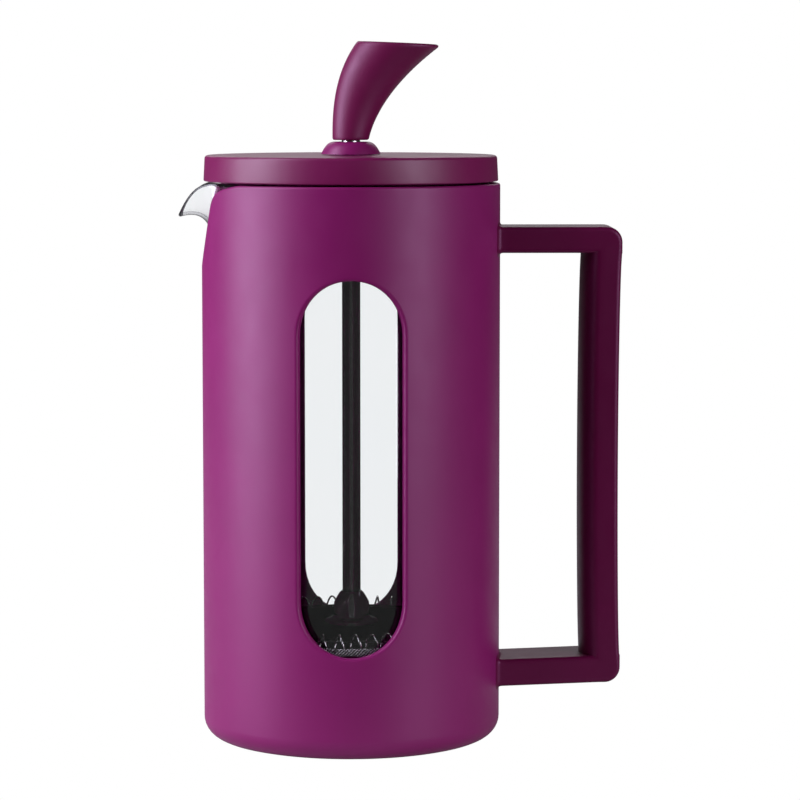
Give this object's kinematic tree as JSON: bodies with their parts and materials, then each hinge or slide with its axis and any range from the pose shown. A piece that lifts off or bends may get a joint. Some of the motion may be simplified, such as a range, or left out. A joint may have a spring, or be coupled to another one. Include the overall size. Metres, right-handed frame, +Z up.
{
  "type": "french press",
  "caption": "Plunger coffee press: spouted glass beaker in a plastic casing with viewing windows, an angular side handle, a flat lid and a horn-shaped knob.",
  "frame": {"origin": "on the surface the press stands on, on the axis of the beaker, in the middle of the base pad's underside", "axes": "+Z up along the beaker's axis, +X towards the handle, -X towards the spout; one viewing window faces -Y and the other +Y"},
  "size_m": [0.1544, 0.104, 0.2434],
  "materials": {
    "plum_plastic": "fine satin",
    "clear_glass": "clear, polished",
    "polished_steel": "polished stainless steel",
    "brass": "machined",
    "grey_silicone": "matte",
    "pale_silicone": "translucent matte"
  },
  "bodies": {
    "casing": {"casing": "plum_plastic", "base_pad": "grey_silicone", "beaker_pad": "pale_silicone"},
    "beaker": {"beaker": "clear_glass"},
    "lid_collar": {"lid_boss": "plum_plastic", "boss_clip": "polished_steel"},
    "lid": {"lid_cap": "plum_plastic", "lid_strainer": "plum_plastic"},
    "rod_bush": {"rod_bush": "pale_silicone"},
    "plunger": {"knob": "plum_plastic", "knob_insert": "brass", "plunger_rod": "polished_steel", "filter_hub": "polished_steel", "spiral_plate": "polished_steel", "coil_spring": "polished_steel", "mesh_screen": "polished_steel", "cross_plate": "polished_steel", "end_nut": "polished_steel"}
  },
  "joints": [
    {"name": "beaker_lift", "type": "slide", "parent": "casing", "child": "beaker", "axis": [0, 0, 1], "range_m": [0, 0.2]},
    {"name": "lid_lift", "type": "slide", "parent": "beaker", "child": "lid_collar", "axis": [0, 0, 1], "range_m": [0, 0.18]},
    {"name": "lid_turn", "type": "hinge", "parent": "lid_collar", "child": "lid", "pos_m": [0, 0, 0.2], "axis": [0, 0, 1], "continuous": true},
    {"name": "plunger_turn", "type": "hinge", "parent": "lid_collar", "child": "rod_bush", "pos_m": [0, 0, 0.2], "axis": [0, 0, 1], "continuous": true},
    {"name": "plunger_press", "type": "slide", "parent": "rod_bush", "child": "plunger", "axis": [0, 0, 1], "range_m": [0, 0.136]}
  ]
}
